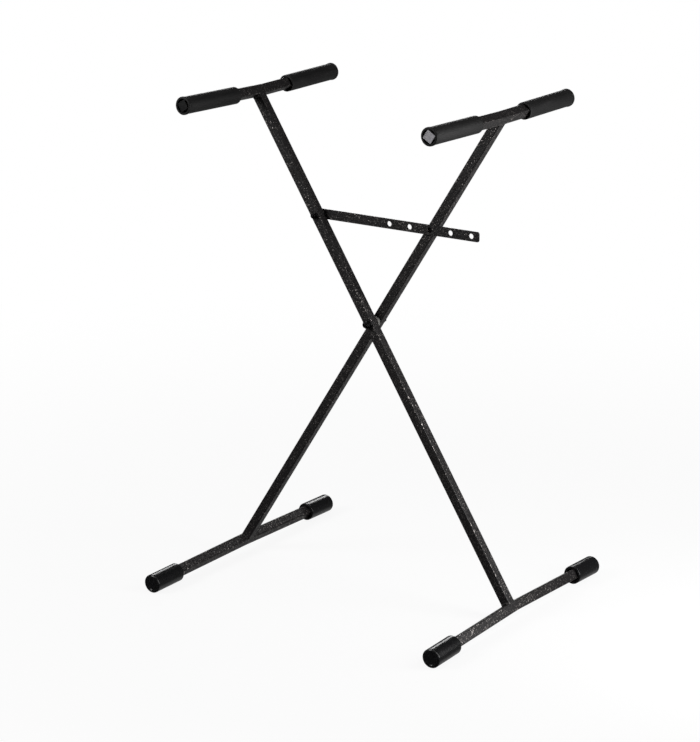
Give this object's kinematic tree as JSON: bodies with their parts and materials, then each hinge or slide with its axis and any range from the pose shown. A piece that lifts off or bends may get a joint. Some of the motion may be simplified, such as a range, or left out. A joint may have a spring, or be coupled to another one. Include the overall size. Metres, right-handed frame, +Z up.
{
  "type": "orchestra bell stand",
  "caption": "Folding X-frame stand of crossed square-tube legs with round-sleeved support arms, rubber-capped foot bars and a perforated strut that locks its width and height.",
  "frame": {"origin": "on the floor, midway between the feet and straight below the axis of the main pivot bolt", "axes": "+X to the right across the X of the legs, +Y to the rear along the arms and foot bars, +Z up"},
  "size_m": [0.6366, 0.5582, 0.9035],
  "materials": {
    "powder_coat": "textured black powder coat",
    "arm_sleeve": "satin",
    "foot_rubber": "semi-gloss",
    "black_plug": "satin",
    "grey_plug": "matt",
    "black_fastener": "black oxide",
    "plain_steel": "zinc",
    "light_nylon": "satin"
  },
  "bodies": {
    "front_leg": {"front_leg_tube": "powder_coat", "left_support_arm": "powder_coat", "right_foot_bar": "powder_coat", "left_arm_weld": "powder_coat", "right_foot_weld": "powder_coat", "left_arm_front_sleeve": "arm_sleeve", "left_arm_rear_sleeve": "arm_sleeve", "left_arm_front_plug": "black_plug", "left_arm_rear_plug": "black_plug", "right_foot_front_cap": "foot_rubber", "right_foot_rear_cap": "foot_rubber", "pivot_bolt": "black_fastener", "pivot_nut": "black_fastener", "pivot_nut_washer": "black_fastener", "pivot_head_washer": "black_fastener", "pivot_spacer": "light_nylon", "pivot_crush_sleeve": "plain_steel", "strut_bolt": "black_fastener", "strut_nut": "black_fastener", "strut_nut_washer": "black_fastener", "strut_washer": "plain_steel", "strut_crush_sleeve": "plain_steel"},
    "rear_leg": {"rear_leg_tube": "powder_coat", "right_support_arm": "powder_coat", "left_foot_bar": "powder_coat", "right_arm_weld": "powder_coat", "left_foot_weld": "powder_coat", "right_arm_front_sleeve": "arm_sleeve", "right_arm_rear_sleeve": "arm_sleeve", "right_arm_front_plug": "grey_plug", "right_arm_rear_plug": "black_plug", "left_foot_front_cap": "foot_rubber", "left_foot_rear_cap": "foot_rubber", "pivot_bush": "light_nylon", "lock_stud": "black_fastener", "lock_stud_washer": "plain_steel"},
    "strut": {"locking_strut": "powder_coat"}
  },
  "joints": [
    {"name": "fold", "type": "hinge", "parent": "front_leg", "child": "rear_leg", "pos_m": [0, -0.003, 0.49454], "axis": [0, 1, 0], "range_deg": [-60.3, 29.1]},
    {"name": "strut_swing", "type": "hinge", "parent": "front_leg", "child": "strut", "pos_m": [-0.11473, -0.00405, 0.67637], "axis": [0, 1, 0], "range_deg": [-30.2, 14.6]}
  ],
  "couplings": [
    {"joint": "strut_swing", "follows": "fold", "ratio": 0.5}
  ]
}
